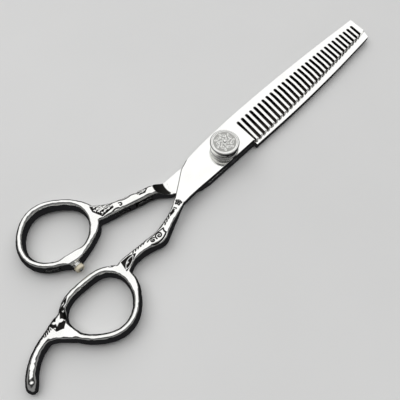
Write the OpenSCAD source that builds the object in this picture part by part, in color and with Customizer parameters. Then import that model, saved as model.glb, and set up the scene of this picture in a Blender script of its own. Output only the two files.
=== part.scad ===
// Thinning shears: a comb blade over a straight cutting blade, turning on a bolt with a tension dial.
// Millimetres. The origin is on the pivot axis, in the plane the shears rest on.
// +X runs from the pivot to the blade tips, +Y to the thumb ring's side, +Z to the dial.

/* [Blades] */
// Thickness of each blade at the pivot
blade_t = 2.55; // [2.3:0.05:2.6]
// Gap between the two ground faces
blade_gap = 0.1; // [0.06:0.01:0.16]
// Thickness of each blade at its tip
tip_t = 1.6; // [1.5:0.05:1.9]
// Distance from the pivot to the comb blade's tip
comb_reach = 80; // [79.5:0.25:82]
// Number of slots in the comb blade
slot_count = 30; // [26:1:30]
// Distance from one slot to the next
slot_pitch = 2.26; // [2.24:0.01:2.28]
// Width of a slot at its rounded root
slot_w = 1.2; // [1.0:0.05:1.3]
// Extra width of a slot at its mouth
slot_flare = 0.2; // [0:0.05:0.3]
// Slope of the ground bevel that thins the teeth, in degrees
tooth_bevel = 7.6; // [5:0.2:8]
// Slope of the cutting blade's edge bevel, in degrees
edge_bevel = 26; // [20:1:28]

/* [Handles] */
// Full height of the rings and shanks
handle_h = 6; // [5.8:0.1:6.4]
// Half width of a ring's rim
rim_w = 1.5; // [1.3:0.05:1.7]
// Mean radius of the thumb ring's centre line
thumb_r = 11.65; // [11.5:0.05:12]
// Mean radius of the finger ring's centre line
finger_r = 10.8; // [10.6:0.05:11.1]
// Number of cross sections around each ring
ring_steps = 56; // [40:4:64]
// Number of points in each cross section
section_points = 16; // [12:4:20]

/* [Pivot] */
// Diameter of the bolt's journal
journal_d = 5; // [4.6:0.1:5.2]
// Radial clearance of the journal in its bush
journal_gap = 0.04; // [0.02:0.01:0.08]
// Diameter of the bolt's flat head
head_d = 8.6; // [8.4:0.1:9.4]
// Height of the bolt's flat head
head_h = 1.1; // [0.9:0.05:1.2]
// Side of the bolt's square neck
neck_w = 5.2; // [5.2:0.05:5.4]
// Diameter of the bolt's thread
thread_d = 4; // [3.6:0.1:4.2]
// Distance across the two flats of the thread
flat_w = 3.2; // [3:0.1:3.4]

/* [Tension dial] */
// Diameter of the dial's rim
dial_d = 10.2; // [9.8:0.1:10.6]
// Height of the dial's face above the comb blade
dial_rise = 4.5; // [4.4:0.05:4.8]
// Diameter of the ornamental face
cap_d = 8.8; // [8.4:0.1:9]
// Diameter of the seat washer under the dial
seat_d = 10; // [9.6:0.1:10.4]

/* [Bumper] */
// Diameter of the plastic plug
bumper_d = 3.1; // [2.8:0.1:3.3]
// Length of the plug outside its collar
bumper_l = 1.3; // [1:0.1:1.8]
// Diameter of the metal collar
collar_d = 3.7; // [3.4:0.1:3.9]

/* [Hidden] */

steel = "gainsboro";
cast = "silver";
mid_z = handle_h / 2;
lower_top = mid_z - blade_gap / 2;
lower_bottom = lower_top - blade_t;
upper_bottom = mid_z + blade_gap / 2;
upper_top = upper_bottom + blade_t;
face_z = upper_top + dial_rise;
slack = 0.04;
big = 200;
fine = 96;

// Where the taper of each blade starts
taper_x = 12;
taper_angle = atan((blade_t - tip_t) / (comb_reach - taper_x));
// The comb blade's heel edge and the line of its tooth tips
heel_y = -4.9;
heel_x = 10;
// The step in the cutting blade's spine at its heel
step_x = 10.9;
step_y = -6.15;
// The first slot's centre on the X axis, and how much the slots lean
first_slot_x = 11.1;
lean_heel = 0.045;
lean_tip = 0.14;
// The line where the tooth bevel starts
bevel_y = 4;

// The weld lines where the handles meet the blades: centre, half width and heading
finger_weld = [-25, -3.4];
finger_weld_w = 1.8;
finger_heading = 200;
thumb_weld = [-23.7, 3.3];
thumb_weld_w = 2.75;
thumb_heading = 180;

thumb_centre = [-61.5, 16.65];
finger_centre = [-66.55, -12.1];
boss_x = -63.6;
boss_end_y = 3.95;
collar_l = 0.8;
plug_y = boss_end_y - collar_l;
stem_d = 1.9;
stem_l = 1.8;
pin_d = 1.2;
pin_shank_d = 0.8;

washer_d = 10.4;
washer_t = 0.5;
bush_d = 7.4;
seat_t = 0.75;
spring_d = 7.6;
click_d = 7.8;
click_t = 0.5;
nut_d = 7;

seat_top = upper_top + seat_t;
spring_low = seat_top + slack;
spring_high = spring_low + 0.62;
click_low = spring_high + slack;
click_high = click_low + click_t;
nut_low = click_high + slack;
nut_high = nut_low + 1.55;
shell_low = seat_top + 0.3;
cap_low = face_z - 0.75;
cap_crown = 0.35;

// --- curves -------------------------------------------------------------------------------------

function wrap(i, n) = (i % n + n) % n;
function clamp(i, n) = max(0, min(n - 1, i));

// A smooth curve through a list of rows, each row any number of values
function spline_row(p, i, t) =
    let (n = len(p), a = p[clamp(i - 1, n)], b = p[i], c = p[clamp(i + 1, n)], d = p[clamp(i + 2, n)])
    0.5 * (2 * b + (c - a) * t + (2 * a - 5 * b + 4 * c - d) * t * t + (3 * b - a - 3 * c + d) * t * t * t);
function spline(p, steps) = concat(
    [for (i = [0:len(p) - 2]) for (k = [0:steps - 1]) spline_row(p, i, k / steps)],
    [p[len(p) - 1]]
);
function flat_xy(rows) = [for (r = rows) [r[0], r[1]]];

// A closed ring's centre line: a mean radius with an oval, an egg and a squarish part
function thumb_radius(a) =
    thumb_r + 0.74 * cos(2 * a + 32) + 0.27 * cos(3 * a + 85) + 0.18 * cos(4 * a - 14);
function finger_radius(a) = finger_r + 0.99 * cos(2 * a + 18) + 0.61 * cos(3 * a - 104);
// The rim swells towards the angle where the shank joins it
function rim_half(a, shank_angle) = rim_w + 0.45 * pow(max(0, cos(a - shank_angle)), 6);

function thumb_rows() = [
    for (k = [0:ring_steps - 1]) let (a = k * 360 / ring_steps, r = thumb_radius(a))
        [thumb_centre[0] + r * cos(a), thumb_centre[1] + r * sin(a), mid_z, rim_half(a, -15), mid_z, 2.1]
];
function finger_rows() = [
    for (k = [0:ring_steps - 1]) let (a = k * 360 / ring_steps, r = finger_radius(a))
        [finger_centre[0] + r * cos(a), finger_centre[1] + r * sin(a), mid_z, rim_half(a, 15), mid_z, 2.1]
];

// Shank rows: x, y, middle z, half width, half height, squareness of the section
function finger_shank_rows() = spline([
    [finger_weld[0], finger_weld[1], upper_bottom + blade_t / 2, finger_weld_w, blade_t / 2, 8],
    [-27.6, -4.65, 4.25, 1.7, 1.55, 4],
    [-30.2, -5.7, 3.55, 1.7, 2.35, 3],
    [-33, -6.6, mid_z, 1.85, 2.95, 2.5],
    [-36, -7.65, mid_z, 2.2, mid_z, 2.5],
    [-38.6, -8.35, mid_z, 2.5, mid_z, 2.5],
    [-41.6, -7.8, mid_z, 2.15, mid_z, 2.5],
    [-45.5, -7.3, mid_z, 1.8, mid_z, 2.5],
    [-49.5, -7.15, mid_z, 1.85, mid_z, 2.5],
    [-52.8, -7.6, mid_z, 2.4, mid_z, 2.4],
    [-55, -8.6, mid_z, 2.6, 2.9, 2.3]
], 3);
function thumb_shank_rows() = spline([
    [thumb_weld[0], thumb_weld[1], lower_top - blade_t / 2, thumb_weld_w, blade_t / 2, 8],
    [-26, 4.5, 1.95, 2.25, 1.6, 4],
    [-28.3, 5.85, 2.85, 2.05, 2.75, 3],
    [-31, 6.7, mid_z, 2.1, mid_z, 2.5],
    [-35, 7.8, mid_z, 2.15, mid_z, 2.5],
    [-39, 9.05, mid_z, 2.15, mid_z, 2.5],
    [-43, 10.35, mid_z, 2.4, mid_z, 2.5],
    [-46.4, 11.9, mid_z, 3, mid_z, 2.4],
    [-49.2, 13.5, mid_z, 3.1, 2.9, 2.3]
], 3);
function finger_rest_rows() = spline([
    [-78.1, -8, mid_z, 3.3, 2.85, 2.3],
    [-80.4, -7.75, mid_z, 2.8, 2.8, 2.4],
    [-83.6, -7.95, mid_z, 2.1, 2.75, 2.4],
    [-87.6, -8.9, mid_z, 1.85, 2.65, 2.4],
    [-91.1, -10.6, mid_z, 1.85, 2.55, 2.4],
    [-94, -12.9, mid_z, 1.95, 2.45, 2.4],
    [-96.1, -15.3, mid_z, 2, 2.3, 2.3],
    [-97, -16.8, mid_z, 1.5, 1.8, 2.2],
    [-97.4, -17.5, mid_z, 0.4, 0.6, 2]
], 3);
// The fillet between the finger rest and the outside of the ring
function web_rows() = spline([
    [-85.2, -8.7, mid_z, 0.8, 2.1, 2.3],
    [-82, -9.9, mid_z, 1.5, 2.6, 2.3],
    [-79.9, -11.6, mid_z, 1.6, 2.8, 2.2],
    [-78.2, -14, mid_z, 1.3, 2.85, 2.2]
], 3);

// --- swept bodies -------------------------------------------------------------------------------

// One point of a rounded section: exponent 2 is an ellipse, 8 is nearly a box
function bulge(v, exponent) = sign(v) * pow(abs(v), 2 / exponent);
// The curve through the rows may overshoot, so a section is kept between the two faces of the handle
function tall(row) = min(row[4], mid_z);
function middle(row) = min(max(row[2], tall(row)), handle_h - tall(row));
function section(row, side) = [
    for (k = [0:section_points - 1])
        let (a = k * 360 / section_points, s = row[3] * bulge(cos(a), row[5]))
            [row[0] + s * side[0], row[1] + s * side[1], middle(row) + tall(row) * bulge(sin(a), row[5])]
];
function side_of(d) = [d[1], -d[0]] / norm(d);
function heading(a) = [cos(a), sin(a)];

module closed_sweep(rows) {
    n = len(rows);
    m = section_points;
    points = [
        for (i = [0:n - 1]) let (d = rows[wrap(i + 1, n)] - rows[wrap(i - 1, n)])
            each section(rows[i], side_of([d[0], d[1]]))
    ];
    faces = [
        for (i = [0:n - 1]) for (k = [0:m - 1]) let (j = wrap(i + 1, n), l = wrap(k + 1, m))
            each [[i * m + k, j * m + l, j * m + k], [i * m + k, i * m + l, j * m + l]]
    ];
    polyhedron(points, faces, convexity = 4);
}

module open_sweep(rows, start) {
    n = len(rows);
    m = section_points;
    points = [
        for (i = [0:n - 1]) let (d = rows[clamp(i + 1, n)] - rows[clamp(i - 1, n)])
            each section(rows[i], side_of(i == 0 ? heading(start) : [d[0], d[1]]))
    ];
    walls = [
        for (i = [0:n - 2]) for (k = [0:m - 1]) let (l = wrap(k + 1, m))
            each [[i * m + k, (i + 1) * m + l, (i + 1) * m + k], [i * m + k, i * m + l, (i + 1) * m + l]]
    ];
    first = [for (k = [m - 1:-1:0]) k];
    last = [for (k = [0:m - 1]) (n - 1) * m + k];
    polyhedron(points, concat(walls, [first, last]), convexity = 4);
}

// --- blade outlines -----------------------------------------------------------------------------

function weld_point(centre, half, angle, side) = centre + side * half * [-sin(angle), cos(angle)];

function comb_spine() = spline([
    [-13.2, 5.9], [-6, 6.7], [2, 7.25], [14, 7.65], [30, 7.8], [45, 7.65], [62, 7.2], [comb_reach, 6.4]
], 6);
function comb_tips() = spline([
    [comb_reach - 0.6, -0.7], [70, -1.5], [58, -2.5], [45, -3.5], [30, -4.4], [18, -4.95], [heel_x, -5.25]
], 4);
function comb_heel() = spline([
    [heel_x, heel_y], [0, -4.95], [-10, -4.9], [-17, -4.8], [-21.5, -4.85]
], 4);

module comb_outline() {
    left = [
        weld_point(finger_weld, finger_weld_w, finger_heading, 1),
        weld_point(finger_weld, finger_weld_w, finger_heading, -1)
    ];
    polygon(concat(comb_spine(), comb_tips(), comb_heel(), left, [[-20, 2.2], [-16.5, 4.7]]));
}

function slot_x(i) = first_slot_x + i * slot_pitch;
function slot_lean(i) = lean_heel + (lean_tip - lean_heel) * i / (slot_count - 1);
// The slots' roots follow a shallow arch
function root_y(x) = 5.05 - 0.62 * pow(abs(x - 44) / 33, 2);

module slot(i) {
    x = slot_x(i);
    lean = slot_lean(i);
    top = root_y(x) - slot_w / 2;
    low = -9;
    half = slot_w / 2;
    wide = half + slot_flare / 2;
    translate([x + lean * top, top]) circle(d = slot_w, $fn = 24);
    polygon([
        [x + lean * top - half, top], [x + lean * low - wide, low],
        [x + lean * low + wide, low], [x + lean * top + half, top]
    ]);
}

module comb_blade() {
    color(steel) difference() {
        translate([0, 0, upper_bottom]) linear_extrude(blade_t) difference() {
            comb_outline();
            for (i = [0:slot_count - 1]) slot(i);
        }
        // Taper towards the tip
        translate([taper_x, -big / 2, upper_top]) rotate([0, taper_angle, 0]) cube([big, big, big]);
        // Bevel that thins the teeth towards their tips
        translate([first_slot_x, bevel_y, upper_top]) rotate([tooth_bevel, 0, 0])
            translate([0, -big, 0]) cube([big, big, big]);
        translate([0, 0, upper_bottom - 1]) cylinder(d = bush_d, h = blade_t + 2, $fn = fine);
        translate([0, 0, upper_bottom - 1]) cylinder(d = washer_d + 2 * slack, h = 1 + washer_t / 2, $fn = fine);
    }
}

// The cutting blade's spine has a step at its heel and then runs straight to the tip
function edge_spine() = spline([
    [step_x, step_y], [22, -6.15], [32, -6.05], [42, -5.75], [52, -5.3], [62, -4.7], [72, -3.95], [79.4, -3.35]
], 4);
function edge_line() = spline([
    [80.7, -0.4], [60, -0.15], [35, 0.35], [14, 0.9], [9.5, 2.2], [5, 4.6], [-2, 5.3], [-12, 5.7], [-17, 6.1]
], 4);

module cutting_outline() {
    weld = [
        weld_point(thumb_weld, thumb_weld_w, thumb_heading, -1),
        weld_point(thumb_weld, thumb_weld_w, thumb_heading, 1)
    ];
    polygon(concat(
        [[step_x, heel_y]], edge_spine(), edge_line(), weld, [[-20, -1.9], [-15.5, -4.4], [-12, heel_y]]
    ));
}

module cutting_blade() {
    color(steel) difference() {
        translate([0, 0, lower_bottom]) linear_extrude(blade_t) cutting_outline();
        // Taper towards the tip, on the underside
        translate([taper_x, -big / 2, lower_bottom]) rotate([0, -taper_angle, 0])
            translate([0, 0, -big]) cube([big, big, big]);
        // Bevel behind the cutting edge, on the underside
        translate([15, -3, lower_bottom]) rotate([edge_bevel, 0, 0])
            translate([0, 0, -big]) cube([big, big, big]);
        translate([0, 0, lower_bottom + blade_t / 2])
            cube([neck_w + 2 * slack, neck_w + 2 * slack, 2 * blade_t], center = true);
        translate([0, 0, -1]) cylinder(d = head_d + 4 * slack, h = head_h + slack + 1, $fn = fine);
        translate([0, 0, lower_top - washer_t / 2])
            cylinder(d = washer_d + 2 * slack, h = blade_t, $fn = fine);
    }
}

// --- handles ------------------------------------------------------------------------------------

module finger_handle() {
    color(cast) resize([0, 0, 0]) union() {
        closed_sweep(finger_rows());
        open_sweep(finger_shank_rows(), finger_heading);
        open_sweep(finger_rest_rows(), 180);
        open_sweep(web_rows(), 190);
    }
}

module boss() {
    hull() {
        translate([boss_x, boss_end_y, mid_z]) rotate([-90, 0, 0]) cylinder(d = collar_d + 0.2, h = 0.6, $fn = 24);
        translate([boss_x + 1.2, 5.9, mid_z]) scale([4.6, 0.9, 2.8]) sphere(r = 1, $fn = 20);
    }
}

module thumb_handle() {
    color(cast) difference() {
        resize([0, 0, 0]) union() {
            closed_sweep(thumb_rows());
            open_sweep(thumb_shank_rows(), thumb_heading);
            boss();
        }
        translate([boss_x, boss_end_y - 1, mid_z]) rotate([-90, 0, 0])
            cylinder(d = stem_d + 2 * slack, h = 1 + stem_l, $fn = fine);
    }
}

// --- pivot --------------------------------------------------------------------------------------

module pivot_bush() {
    color("darkkhaki") difference() {
        translate([0, 0, lower_top + washer_t / 2 + blade_gap])
            cylinder(d = bush_d, h = upper_top - lower_top - washer_t / 2 - blade_gap, $fn = fine);
        cylinder(d = journal_d + 2 * journal_gap, h = big, $fn = fine);
    }
}

module dial_seat() {
    color(steel) difference() {
        translate([0, 0, upper_top]) union() {
            cylinder(d = seat_d, h = seat_t - 0.25, $fn = fine);
            translate([0, 0, seat_t - 0.25]) cylinder(d1 = seat_d, d2 = seat_d - 0.5, h = 0.25, $fn = fine);
        }
        cylinder(d = journal_d + 2 * journal_gap, h = big, $fn = fine);
    }
}

module pivot_bolt() {
    color("lightsteelblue") union() {
        cylinder(d1 = head_d - 0.5, d2 = head_d, h = 0.25, $fn = fine);
        translate([0, 0, 0.25]) cylinder(d = head_d, h = head_h - 0.25, $fn = fine);
        translate([-neck_w / 2, -neck_w / 2, head_h]) cube([neck_w, neck_w, lower_top - washer_t / 2 - head_h]);
        cylinder(d = journal_d, h = seat_top, $fn = fine);
        intersection() {
            cylinder(d = thread_d, h = nut_high, $fn = fine);
            translate([-flat_w / 2, -big / 2, 0]) cube([flat_w, big, big]);
        }
    }
}

module blade_washer() {
    color("dimgray") translate([0, 0, mid_z - washer_t / 2 + slack]) difference() {
        cylinder(d = washer_d, h = washer_t - 2 * slack, $fn = fine);
        translate([0, 0, -1]) cylinder(d = journal_d + 2 * journal_gap, h = 3, $fn = fine);
    }
}

module spring_washer() {
    inner = journal_d / 2 + 0.2;
    outer = spring_d / 2;
    leaf = 0.22;
    color("slategray") rotate_extrude($fn = fine) polygon([
        [inner, spring_high - leaf], [inner, spring_high], [outer, spring_low + leaf], [outer, spring_low]
    ]);
}

module click_plate() {
    color("gray") translate([0, 0, click_low]) difference() {
        cylinder(d = click_d, h = click_t, $fn = fine);
        intersection() {
            translate([0, 0, -1]) cylinder(d = thread_d + 2 * slack, h = 3, $fn = fine);
            translate([-flat_w / 2 - slack, -big / 2, -1]) cube([flat_w + 2 * slack, big, 3]);
        }
    }
}

module dial_nut() {
    color("goldenrod") difference() {
        translate([0, 0, nut_low]) cylinder(d = nut_d, h = nut_high - nut_low, $fn = fine);
        cylinder(d = thread_d + 2 * slack, h = big, $fn = fine);
    }
}

// The shell's outside: a lower band, a groove and the rim that carries the face
module dial_shell() {
    rim = dial_d / 2;
    band = rim - 0.25;
    groove = rim - 0.6;
    hollow = click_d / 2 + 0.15;
    color(steel) rotate_extrude($fn = fine) polygon([
        [hollow, shell_low], [band - 0.2, shell_low], [band, shell_low + 0.2], [band, shell_low + 0.9],
        [groove, shell_low + 1.05], [groove, shell_low + 1.35], [rim, shell_low + 1.55],
        [rim, face_z - 0.6], [rim - 0.35, face_z - 0.25], [cap_d / 2 + slack, face_z - 0.25],
        [cap_d / 2 + slack, cap_low - slack], [thread_d / 2 + 0.3, cap_low - slack],
        [thread_d / 2 + 0.3, nut_high + slack], [nut_d / 2 + slack, nut_high + slack],
        [nut_d / 2 + slack, nut_low], [hollow, nut_low]
    ]);
}

// A low domed disc with a bored middle for its rivet
module dial_cap() {
    edge = cap_d / 2;
    hole = pin_shank_d / 2 + slack;
    dome_r = (edge * edge + cap_crown * cap_crown) / (2 * cap_crown);
    function dome_z(r) = face_z - dome_r + sqrt(dome_r * dome_r - r * r);
    dome = [for (k = [0:8]) let (r = edge + (hole - edge) * k / 8) [r, dome_z(r)]];
    color("whitesmoke") rotate_extrude($fn = fine)
        polygon(concat([[hole, cap_low], [edge, cap_low]], dome));
}

module cap_pin() {
    color(cast) union() {
        translate([0, 0, cap_low]) cylinder(d = pin_shank_d, h = face_z + 0.1 - cap_low, $fn = fine);
        translate([0, 0, face_z + slack]) cylinder(d1 = pin_d, d2 = pin_d * 0.6, h = 0.25, $fn = fine);
    }
}

// --- bumper -------------------------------------------------------------------------------------

// Stands a piece on the boss's end, pointing towards the finger ring
module on_boss(y) {
    translate([boss_x, y, mid_z]) rotate([90, 0, 0]) children();
}

module bumper_socket() {
    color(cast) on_boss(boss_end_y) difference() {
        cylinder(d = collar_d, h = collar_l, $fn = fine);
        translate([0, 0, -1]) cylinder(d = stem_d + 2 * slack, h = 3, $fn = fine);
    }
}

module bumper() {
    crown = 0.3;
    color("wheat") difference() {
        union() {
            on_boss(plug_y) cylinder(d = bumper_d, h = bumper_l - crown, $fn = fine);
            on_boss(plug_y - bumper_l + crown) cylinder(d1 = bumper_d, d2 = bumper_d - 0.6, h = crown, $fn = fine);
            on_boss(boss_end_y + stem_l - slack) cylinder(d = stem_d, h = stem_l + collar_l, $fn = fine);
        }
        on_boss(boss_end_y + big / 2) cylinder(d = pin_shank_d + 2 * slack, h = big, $fn = fine);
    }
}

module bumper_pin() {
    color("gray") union() {
        on_boss(boss_end_y + stem_l / 2)
            cylinder(d = pin_shank_d, h = stem_l / 2 + collar_l + bumper_l + 0.1, $fn = fine);
        on_boss(plug_y - bumper_l - slack) cylinder(d1 = pin_d, d2 = pin_d * 0.7, h = 0.3, $fn = fine);
    }
}

comb_blade();
finger_handle();
pivot_bush();
dial_seat();
cutting_blade();
thumb_handle();
pivot_bolt();
blade_washer();
bumper_socket();
bumper();
bumper_pin();
spring_washer();
click_plate();
dial_nut();
dial_shell();
dial_cap();
cap_pin();
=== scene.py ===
import math

import bmesh
import bpy
import numpy as np
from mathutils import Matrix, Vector
from mathutils.kdtree import KDTree


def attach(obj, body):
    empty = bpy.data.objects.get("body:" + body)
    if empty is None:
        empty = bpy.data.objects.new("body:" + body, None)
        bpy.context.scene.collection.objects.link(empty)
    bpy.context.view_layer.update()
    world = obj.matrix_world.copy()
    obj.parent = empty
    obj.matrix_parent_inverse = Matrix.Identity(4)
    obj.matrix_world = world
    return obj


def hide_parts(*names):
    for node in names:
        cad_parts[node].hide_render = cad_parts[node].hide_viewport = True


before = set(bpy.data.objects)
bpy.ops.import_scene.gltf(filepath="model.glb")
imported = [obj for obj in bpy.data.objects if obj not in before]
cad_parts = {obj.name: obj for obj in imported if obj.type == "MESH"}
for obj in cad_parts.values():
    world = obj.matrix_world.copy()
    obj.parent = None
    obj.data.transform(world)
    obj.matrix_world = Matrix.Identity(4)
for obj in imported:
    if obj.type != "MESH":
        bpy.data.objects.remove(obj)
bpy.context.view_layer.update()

# Shapes are worked out in millimetres and stored in metres
MM = 0.001

# Levels and sizes that the CAD part also uses, in millimetres
MID_Z = 3.0
HANDLE_H = 6.0
BLADE_T = 2.55
LOWER_TOP = 2.95
LOWER_BOTTOM = LOWER_TOP - BLADE_T
UPPER_BOTTOM = 3.05
UPPER_TOP = UPPER_BOTTOM + BLADE_T
TIP_T = 1.6
COMB_REACH = 80.0
TAPER_X = 12.0
TAPER = (BLADE_T - TIP_T) / (COMB_REACH - TAPER_X)
FACE_Z = 10.1
CAP_LOW = 9.35
NUT_LOW = 7.59
SEAT_TOP = UPPER_TOP + 0.75
SEAT_R = 5.0
SLACK = 0.04
BUSH_BORE_R = 3.7
HEAD_RECESS_R = 4.38
HEAD_RECESS_TOP = 1.14
WASHER_RECESS_R = 5.24
NECK_W = 5.2
BUMPER_X = -63.6
BOSS_END_Y = 3.95


# --- small helpers ---

def spline(rows, steps):
    """A Catmull-Rom curve through the rows, each row any number of values."""
    p = np.array(rows, float)
    out = []
    for i in range(len(p) - 1):
        a, b, c, d = p[max(i - 1, 0)], p[i], p[i + 1], p[min(i + 2, len(p) - 1)]
        for k in range(steps):
            t = k / steps
            out.append(0.5 * (2 * b + (c - a) * t + (2 * a - 5 * b + 4 * c - d) * t * t
                              + (3 * b - a - 3 * c + d) * t ** 3))
    out.append(p[-1])
    return np.array(out)


def smoothstep(low, high, x):
    """A soft step from 0 at low to 1 at high; low may be the larger of the two."""
    t = np.clip((x - low) / (high - low), 0, 1)
    return t * t * (3 - 2 * t)


def add_object(name, mesh):
    made = bpy.data.objects.new(name, mesh)
    bpy.context.scene.collection.objects.link(made)
    return made


def mesh_from(name, verts, faces):
    mesh = bpy.data.meshes.new(name)
    points = [tuple(v) for v in np.asarray(verts, float)]
    mesh.from_pydata(points, [], [tuple(int(i) for i in f) for f in faces])
    mesh.update()
    return mesh


def evaluated(made):
    """The mesh after an object's modifiers, as a new mesh."""
    depsgraph = bpy.context.evaluated_depsgraph_get()
    return bpy.data.meshes.new_from_object(made.evaluated_get(depsgraph))


def shade(mesh, angle):
    """Smooth shading, with edges over the angle kept sharp; 0 keeps none."""
    mesh.polygons.foreach_set("use_smooth", [True] * len(mesh.polygons))
    if angle:
        mesh.set_sharp_from_angle(angle=math.radians(angle))
    mesh.update()


def stand_in(made, body, node):
    """Puts a piece on its body, in place of a CAD node."""
    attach(made, body)
    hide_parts(node)


def to_metres(mesh):
    count = len(mesh.vertices)
    co = np.empty(count * 3, np.float32)
    mesh.vertices.foreach_get("co", co)
    mesh.vertices.foreach_set("co", co * MM)
    mesh.update()


# --- swept handles ---

SECTION_POINTS = 48
VOXEL = 0.15
POLISH_PUSH = 0.5
POLISH_PULL = -0.52


def section(row, side):
    """A squared ellipse across the path, kept within the height of the handles."""
    x, y, z, half_width, half_height, squareness = row
    a = np.arange(SECTION_POINTS) * 2 * math.pi / SECTION_POINTS
    power = 2 / squareness
    across = half_width * np.sign(np.cos(a)) * np.abs(np.cos(a)) ** power
    tall = min(half_height, MID_Z)
    middle = min(max(z, tall), HANDLE_H - tall)
    up = tall * np.sign(np.sin(a)) * np.abs(np.sin(a)) ** power
    return np.stack([x + across * side[0], y + across * side[1], middle + up], 1)


def sweep(rows, closed=False, heading=0):
    """A tube through rows of x, y, middle z, half width, half height and squareness.

    An open tube sets off in the direction of heading, in degrees."""
    n, m = len(rows), SECTION_POINTS
    points = []
    for i in range(n):
        if closed:
            d = rows[(i + 1) % n] - rows[i - 1]
        elif i == 0:
            d = np.array([math.cos(math.radians(heading)), math.sin(math.radians(heading))])
        else:
            d = rows[min(i + 1, n - 1)] - rows[max(i - 1, 0)]
        d = d[:2] / np.linalg.norm(d[:2])
        points.append(section(rows[i], (d[1], -d[0])))
    faces = []
    for i in range(n if closed else n - 1):
        j = (i + 1) % n
        for k in range(m):
            l = (k + 1) % m
            faces.append((i * m + k, j * m + k, j * m + l, i * m + l))
    if not closed:
        faces.append(tuple(range(m - 1, -1, -1)))
        faces.append(tuple((n - 1) * m + k for k in range(m)))
    return np.concatenate(points), faces


def joined(parts):
    verts, faces, base = [], [], 0
    for v, f in parts:
        verts.append(v)
        faces += [tuple(i + base for i in face) for face in f]
        base += len(v)
    return np.concatenate(verts), faces


def remeshed(name, parts):
    """One closed skin around overlapping bodies."""
    verts, faces = joined(parts)
    rough = add_object(name + "_rough", mesh_from(name + "_rough", verts, faces))
    remesh = rough.modifiers.new("skin", "REMESH")
    remesh.mode = "VOXEL"
    remesh.voxel_size = VOXEL
    mesh = evaluated(rough)
    bpy.data.objects.remove(rough)
    mesh.name = name
    return mesh


def coordinates(mesh):
    co = np.empty(len(mesh.vertices) * 3, np.float32)
    mesh.vertices.foreach_get("co", co)
    return co.reshape(-1, 3).astype(float)


def normals(mesh):
    n = np.empty(len(mesh.vertices) * 3, np.float32)
    mesh.vertex_normals.foreach_get("vector", n)
    return n.reshape(-1, 3).astype(float)


def store(mesh, co):
    mesh.vertices.foreach_set("co", co.astype(np.float32).ravel())
    mesh.update()


def relax(mesh, co, weight, rounds):
    """Moves each point towards the mean of its neighbours, by its weight, for some rounds."""
    pairs = np.empty(len(mesh.edges) * 2, np.int32)
    mesh.edges.foreach_get("vertices", pairs)
    a, b = pairs[0::2], pairs[1::2]
    n = len(co)
    degree = np.bincount(a, minlength=n) + np.bincount(b, minlength=n)
    degree = np.maximum(degree, 1)
    for _ in range(rounds):
        total = np.stack([np.bincount(a, co[b, k], n) + np.bincount(b, co[a, k], n) for k in range(3)], 1)
        co = co + weight[:, None] * (total / degree[:, None] - co)
    return co


def polish(mesh, co, rounds):
    """Takes the voxel steps out of a skin without shrinking it."""
    for _ in range(rounds):
        co = relax(mesh, co, np.full(len(co), POLISH_PUSH), 1)
        co = relax(mesh, co, np.full(len(co), POLISH_PULL), 1)
    return co


def near(co, spots):
    """How close each point is to the given x, y, radius spots, from 0 to 1."""
    best = np.zeros(len(co))
    for x, y, radius in spots:
        d = np.hypot(co[:, 0] - x, co[:, 1] - y)
        best = np.maximum(best, 1 - smoothstep(0.6 * radius, radius, d))
    return best


# --- engraved scrolls ---

STROKE_STEP = 0.06
RIDGE_WIDTH = 0.18
GROOVE_WIDTH = 0.2
CUT_DEPTH = 0.3
CURL_SPACING = 1.4
CURL_SIZE = 0.42
CURL_TURNS = 0.8
CURL_SHIFT = 0.12
CURL_MARGIN = 0.12
STEM_SAG = 0.3
SKIN_LOSS = 0.02
FACES_UP = 0.15


def spiral(x, y, size, angle, turns, hand):
    """A curl that opens from its eye and runs off in the direction of angle."""
    t = np.linspace(0, 1, max(12, int(size * turns * 6 / STROKE_STEP / 3)))
    r = size * (0.12 + 0.88 * t ** 1.3)
    a = math.radians(angle) + hand * (t - 1) * turns * 2 * math.pi
    return np.stack([x + r * np.cos(a), y + r * np.sin(a)], 1)


def bow(x0, y0, x1, y1, sag):
    """An arc from one point to another that bulges sideways by sag."""
    t = np.linspace(0, 1, max(6, int(math.hypot(x1 - x0, y1 - y0) / STROKE_STEP)))
    nx, ny = -(y1 - y0), x1 - x0
    length = math.hypot(nx, ny)
    push = 4 * sag * t * (1 - t)
    return np.stack([x0 + (x1 - x0) * t + push * nx / length, y0 + (y1 - y0) * t + push * ny / length], 1)


def leaf(x, y, length, angle, fat):
    """Two arcs that meet at a point."""
    a = math.radians(angle)
    ex, ey = x + length * math.cos(a), y + length * math.sin(a)
    return [bow(x, y, ex, ey, fat), bow(x, y, ex, ey, -fat)]


def filled_leaf(x, y, length, angle, fat):
    """A leaf that stands as one solid shape."""
    a = math.radians(angle)
    ex, ey = x + length * math.cos(a), y + length * math.sin(a)
    return [bow(x, y, ex, ey, sag) for sag in np.linspace(-fat, fat, max(2, int(fat / 0.08)))]


def edge_distance(flat, patch):
    """How far each point is inside a convex patch, in millimetres; negative outside."""
    p = np.array(patch, float)
    q = np.roll(p, -1, axis=0)
    turn = np.sign(np.sum(p[:, 0] * q[:, 1] - q[:, 0] * p[:, 1]))
    best = np.full(len(flat), 1e9)
    for a, b in zip(p, q):
        d = (b - a) / np.linalg.norm(b - a)
        best = np.minimum(best, turn * (d[0] * (flat[:, 1] - a[1]) - d[1] * (flat[:, 0] - a[0])))
    return best


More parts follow.
